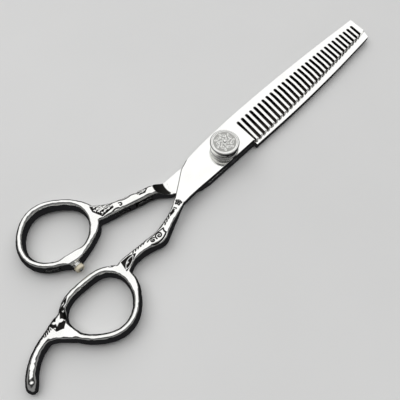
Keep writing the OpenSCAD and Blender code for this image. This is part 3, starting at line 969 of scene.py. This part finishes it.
def object_space(tree, stretch):
    where = tree.nodes.new("ShaderNodeTexCoord")
    scaled = tree.nodes.new("ShaderNodeMapping")
    scaled.inputs["Scale"].default_value = stretch
    tree.links.new(where.outputs["Object"], scaled.inputs["Vector"])
    return scaled.outputs["Vector"]


def noise(tree, vector, scale, detail=3.0):
    made = node(tree, "ShaderNodeTexNoise", Scale=scale, Detail=detail)
    tree.links.new(vector, made.inputs["Vector"])
    return made.outputs["Fac"]


def spread(tree, value, low, high, start=0.3, end=0.7):
    """Maps a value from the range between start and end to the range between low and high."""
    made = tree.nodes.new("ShaderNodeMapRange")
    made.inputs["From Min"].default_value = start
    made.inputs["From Max"].default_value = end
    made.inputs["To Min"].default_value = low
    made.inputs["To Max"].default_value = high
    tree.links.new(value, made.inputs["Value"])
    return made.outputs["Result"]


def blend_colour(tree, share, first, second):
    made = tree.nodes.new("ShaderNodeMix")
    made.data_type = "RGBA"
    tree.links.new(share, made.inputs[0])
    for socket, colour in ((made.inputs[6], first), (made.inputs[7], second)):
        if isinstance(colour, tuple):
            socket.default_value = (*colour, 1)
        else:
            tree.links.new(colour, socket)
    return made.outputs[2]


def bump(tree, height, strength, distance, shader, last=None):
    made = node(tree, "ShaderNodeBump", Strength=strength, Distance=distance)
    tree.links.new(height, made.inputs["Height"])
    if last:
        tree.links.new(last, made.inputs["Normal"])
    tree.links.new(made.outputs["Normal"], shader.inputs["Normal"])
    return made.outputs["Normal"]


def metal(name, light, dark, smooth, rough, stretch, grain, recess=None):
    """Polished steel: slow colour and roughness change, fine directional polishing marks and sparse pits."""
    made, tree, shader = new_material(name)
    shader.inputs["Metallic"].default_value = 1.0
    even = object_space(tree, (1, 1, 1))
    cloud = noise(tree, even, 160.0)
    tone = blend_colour(tree, spread(tree, cloud, 0, 1), light, dark)
    marks = noise(tree, object_space(tree, stretch), 900.0, 4.0)
    gloss = spread(tree, marks, smooth, rough)
    if recess:
        mask = tree.nodes.new("ShaderNodeAttribute")
        mask.attribute_name = "cut"
        depth = spread(tree, mask.outputs["Fac"], 0, 1, 0.2, 0.55)
        tone = blend_colour(tree, depth, tone, recess)
        mixed = tree.nodes.new("ShaderNodeMix")
        tree.links.new(depth, mixed.inputs[0])
        tree.links.new(gloss, mixed.inputs[2])
        mixed.inputs[3].default_value = 0.55
        gloss = mixed.outputs[0]
    tree.links.new(tone, shader.inputs["Base Color"])
    tree.links.new(gloss, shader.inputs["Roughness"])
    first = bump(tree, marks, grain, 0.00002, shader)
    bump(tree, noise(tree, even, 2600.0, 2.0), grain * 0.6, 0.00001, shader, first)
    return made


# In metres: the span of the inner face that the line of rougher finish and painted shade is drawn over, along
# X and across Y
SATIN_SHADE_REACH = 0.08
SATIN_SHADE_DEPTH = -0.01
# The line itself, as shares of those spans; it follows the comb's tooth tips
SATIN_SHADE_LINE = ((0, 0.475), (0.125, 0.475), (0.375, 0.56), (0.5625, 0.65), (0.725, 0.75), (0.875, 0.85),
              (1, 0.93))


def satin_with_painted_shade(name, bright, painted_shade):
    """The straight blade's inner face: rougher where the teeth run over it, with the teeth's shade painted
    there as a dark brown colour; polished along the spine.
    """
    made, tree, shader = new_material(name)
    shader.inputs["Metallic"].default_value = 1.0
    where = tree.nodes.new("ShaderNodeTexCoord")
    parts = tree.nodes.new("ShaderNodeSeparateXYZ")
    tree.links.new(where.outputs["Object"], parts.inputs["Vector"])
    reach = spread(tree, parts.outputs["X"], 0, 1, 0.0, SATIN_SHADE_REACH)
    line = tree.nodes.new("ShaderNodeFloatCurve")
    curve = line.mapping.curves[0]
    curve.points[0].location = SATIN_SHADE_LINE[0]
    curve.points[1].location = SATIN_SHADE_LINE[-1]
    for x, y in SATIN_SHADE_LINE[1:-1]:
        curve.points.new(x, y)
    line.mapping.update()
    tree.links.new(reach, line.inputs["Value"])
    height = spread(tree, parts.outputs["Y"], 0, 1, SATIN_SHADE_DEPTH, 0.0)
    gap = tree.nodes.new("ShaderNodeMath")
    gap.operation = "SUBTRACT"
    tree.links.new(height, gap.inputs[0])
    tree.links.new(line.outputs["Value"], gap.inputs[1])
    satin_shade_share = spread(tree, gap.outputs["Value"], 0, 1, -0.01, 0.03)
    marks = noise(tree, object_space(tree, (5, 0.25, 5)), 900.0, 4.0)
    # Painted shade: past the line of the tooth tips the colour turns dark brown, where the comb's teeth shade
    # the face
    tree.links.new(blend_colour(tree, satin_shade_share, bright, painted_shade), shader.inputs["Base Color"])
    gloss = tree.nodes.new("ShaderNodeMix")
    tree.links.new(satin_shade_share, gloss.inputs[0])
    tree.links.new(spread(tree, marks, 0.08, 0.16), gloss.inputs[2])
    tree.links.new(spread(tree, marks, 0.28, 0.42), gloss.inputs[3])
    tree.links.new(gloss.outputs[0], shader.inputs["Roughness"])
    bump(tree, marks, 0.15, 0.00002, shader)
    return made


def plastic(name, light, dark, rough, coat):
    made, tree, shader = new_material(name)
    shader.inputs["Coat Weight"].default_value = coat
    even = object_space(tree, (1, 1, 1))
    tone = blend_colour(tree, spread(tree, noise(tree, even, 700.0), 0, 1), light, dark)
    tree.links.new(tone, shader.inputs["Base Color"])
    gloss = spread(tree, noise(tree, even, 1500.0), rough - 0.08, rough + 0.08)
    tree.links.new(gloss, shader.inputs["Roughness"])
    bump(tree, noise(tree, even, 5000.0, 3.0), 0.25, 0.00002, shader)
    return made


def give(made, material):
    made.data.materials.clear()
    made.data.materials.append(material)


def soften(cad, width):
    """A carried-over CAD node keeps its mesh and gets softened rims."""
    weld = cad.modifiers.new("weld", "WELD")
    weld.merge_threshold = 1e-6
    rim = cad.modifiers.new("rim", "BEVEL")
    rim.width = width * MM
    rim.segments = 2
    rim.limit_method = "ANGLE"
    rim.angle_limit = math.radians(40)
    weighted = cad.modifiers.new("even", "WEIGHTED_NORMAL")
    weighted.keep_sharp = False


# --- the scene ---

# In metres: where the inner faces with rougher finish and painted shade start, and the stretch of the comb
# blade that holds the slots
SATIN_SHADE_START = 0.004
SLOTS_START = 0.0102
SLOTS_END = 0.0785
SLOTS_TOP = 0.0053
NIGHT = (0.012, 0.012, 0.013)
CANOPY_AXIS = (0.3155, 0.3155, 0.8949)
CANOPY = ((0.60, NIGHT), (0.70, (1, 1, 1)))
STRIP = ((0.06, NIGHT), (0.2, (0.23, 0.23, 0.23)), (0.48, (0.2, 0.2, 0.2)), (0.60, (0.03, 0.03, 0.03)))
CANOPY_STRENGTH = 1.18
# Name, place, size and power of each lamp
LAMPS = (("key", (-0.25, 0.35, 0.6), 0.5, 1.0), ("fill", (0.4, -0.3, 0.7), 0.7, 0.3))
CAMERA_PLACE = (-0.07706, -0.06505, 0.1666)
CAMERA_LINE = (0.3155, 0.3155, -0.8949)
FLOOR_HALF = 3.0
FLOOR_Z = -0.00002


def give_blades(blades, ground, satin_and_shade, sawn_and_shaded):
    """Polished steel, with inner faces that are rougher and carry painted shade under the teeth, and slot
    walls that are rough and painted near black as shade.
    """
    for made in blades:
        give(made, ground)
        made.data.materials.append(satin_and_shade)
        made.data.materials.append(sawn_and_shaded)
        # Inner faces take the material with painted shade under the teeth; the comb's slot walls take the
        # rough one painted near black as the shade between the teeth
        for face in made.data.polygons:
            inner = face.normal.z > 0.9 if made is blades[1] else face.normal.z < -0.9
            in_slots = SLOTS_START < face.center.x < SLOTS_END and face.center.y < SLOTS_TOP
            if inner and face.center.x > SATIN_SHADE_START:
                face.material_index = 1
            elif made is blades[0] and in_slots and abs(face.normal.z) < 0.5 and face.normal.y > -0.5:
                face.material_index = 2


def build_object():
    grips = [build_finger_handle(), build_thumb_handle()]
    blades = build_blades()
    turned = build_dial()
    cap = build_cap()
    collar, plug = build_bumper()
    spring = build_spring()

    cast = metal("polished_casting", (0.88, 0.88, 0.86), (0.80, 0.80, 0.78), 0.06, 0.13, (1, 1, 1), 0.04,
                 (0.02, 0.019, 0.018))
    ground = metal("polished_blade", (0.90, 0.90, 0.88), (0.84, 0.84, 0.82), 0.08, 0.16, (0.25, 5, 5), 0.05)
    # The inner faces: rougher under the comb's teeth, and painted dark brown there as the teeth's shade
    satin_and_shade = satin_with_painted_shade("satin_painted_shade_face", (0.88, 0.88, 0.86), (0.27, 0.25, 0.238))
    # The slot walls: rough like saw-cut steel, with a near-black colour painted as the shade between the
    # teeth
    sawn_and_shaded = metal("slot_wall_painted_shade", (0.14, 0.125, 0.115), (0.09, 0.08, 0.075), 0.3, 0.45, (5, 5, 0.25), 0.2)
    turned_steel = metal("turned_steel", (0.84, 0.84, 0.82), (0.74, 0.74, 0.72), 0.10, 0.20, (1, 1, 6), 0.08)
    relief = metal("relief_steel", (0.88, 0.88, 0.86), (0.80, 0.80, 0.78), 0.14, 0.28, (1, 1, 1), 0.08,
                   (0.45, 0.45, 0.43))
    hardware = metal("brushed_hardware", (0.62, 0.62, 0.60), (0.46, 0.46, 0.45), 0.25, 0.42, (1, 6, 1), 0.3)
    bronze = metal("sintered_bronze", (0.60, 0.42, 0.22), (0.44, 0.30, 0.16), 0.35, 0.55, (1, 1, 1), 0.4)
    cream = plastic("cream_nylon", (0.80, 0.74, 0.58), (0.72, 0.65, 0.48), 0.42, 0.15)
    dark = plastic("dark_slip_ring", (0.05, 0.05, 0.055), (0.03, 0.03, 0.033), 0.5, 0.0)

    for made in grips:
        give(made, cast)
    give_blades(blades, ground, satin_and_shade, sawn_and_shaded)
    for made in (*turned, collar):
        give(made, turned_steel)
    give(cap, relief)
    give(plug, cream)
    give(spring, hardware)

    # The CAD nodes that stay as they are, each with its material and the width of its softened rims
    left = {"pivot_bolt": (hardware, 0.12), "click_plate": (hardware, 0.06),
            "dial_nut": (bronze, 0.1), "pivot_bush": (bronze, 0.08), "blade_washer": (dark, 0.05),
            "bumper_pin": (hardware, 0.06), "cap_pin": (turned_steel, 0.08)}
    for name, (material, width) in left.items():
        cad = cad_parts[name]
        give(cad, material)
        soften(cad, width)


def build_floor():
    half = FLOOR_HALF
    corners = [(-half, -half, 0), (half, -half, 0), (half, half, 0), (-half, half, 0)]
    floor = add_object("floor", mesh_from("floor", corners, [(0, 1, 2, 3)]))
    floor.location.z = FLOOR_Z
    floor.visible_glossy = False
    paper, tree, shader = new_material("pale_floor")
    even = object_space(tree, (1, 1, 1))
    cloud = spread(tree, noise(tree, even, 12.0), 0, 1)
    tone = blend_colour(tree, cloud, (0.79, 0.79, 0.785), (0.76, 0.76, 0.755))
    tree.links.new(tone, shader.inputs["Base Color"])
    tree.links.new(spread(tree, noise(tree, even, 300.0), 0.75, 0.9), shader.inputs["Roughness"])
    give(floor, paper)


def ramp(tree, value, stops):
    """A colour ramp over a value, from two or more stops of position and colour."""
    made = tree.nodes.new("ShaderNodeValToRGB")
    elements = made.color_ramp.elements
    for element, (position, colour) in zip(elements, (stops[0], stops[-1])):
        element.position = position
        element.color = (*colour, 1)
    for position, colour in stops[1:-1]:
        elements.new(position).color = (*colour, 1)
    tree.links.new(value, made.inputs["Fac"])
    return made.outputs["Color"]


def build_world():
    """A wide soft canopy, brightest along its own tilted axis, and a dim strip low down all round."""
    world = bpy.data.worlds.new("studio")
    bpy.context.scene.world = world
    world.use_nodes = True
    tree = world.node_tree
    where = tree.nodes.new("ShaderNodeTexCoord")
    along = tree.nodes.new("ShaderNodeVectorMath")
    along.operation = "DOT_PRODUCT"
    along.inputs[1].default_value = CANOPY_AXIS
    tree.links.new(where.outputs["Generated"], along.inputs[0])
    canopy = ramp(tree, along.outputs["Value"], CANOPY)
    # The strip lets flat faces still read from low angles
    parts = tree.nodes.new("ShaderNodeSeparateXYZ")
    tree.links.new(where.outputs["Generated"], parts.inputs["Vector"])
    strip = ramp(tree, parts.outputs["Z"], STRIP)
    both = tree.nodes.new("ShaderNodeMix")
    both.data_type = "RGBA"
    both.blend_type = "LIGHTEN"
    both.inputs[0].default_value = 1.0
    tree.links.new(canopy, both.inputs[6])
    tree.links.new(strip, both.inputs[7])
    back = tree.nodes["Background"]
    tree.links.new(both.outputs[2], back.inputs["Color"])
    back.inputs["Strength"].default_value = CANOPY_STRENGTH


def build_lamps():
    for name, place, size, power in LAMPS:
        light = bpy.data.lights.new(name, "AREA")
        light.size = size
        light.energy = power
        lamp = bpy.data.objects.new(name, light)
        lamp.location = place
        lamp.visible_glossy = False
        lamp.rotation_mode = "QUATERNION"
        lamp.rotation_quaternion = (-Vector(place)).to_track_quat("-Z", "Y")
        bpy.context.scene.collection.objects.link(lamp)


def build_camera():
    lens = bpy.data.cameras.new("view")
    lens.lens = 48.6
    lens.sensor_width = 36
    lens.clip_start = 0.005
    camera = bpy.data.objects.new("view", lens)
    camera.location = CAMERA_PLACE
    camera.rotation_mode = "QUATERNION"
    camera.rotation_quaternion = Vector(CAMERA_LINE).to_track_quat("-Z", "Y")
    bpy.context.scene.collection.objects.link(camera)
    bpy.context.scene.camera = camera
    bpy.context.scene.view_settings.view_transform = "Standard"


build_floor()
build_world()
build_lamps()
build_camera()
build_object()
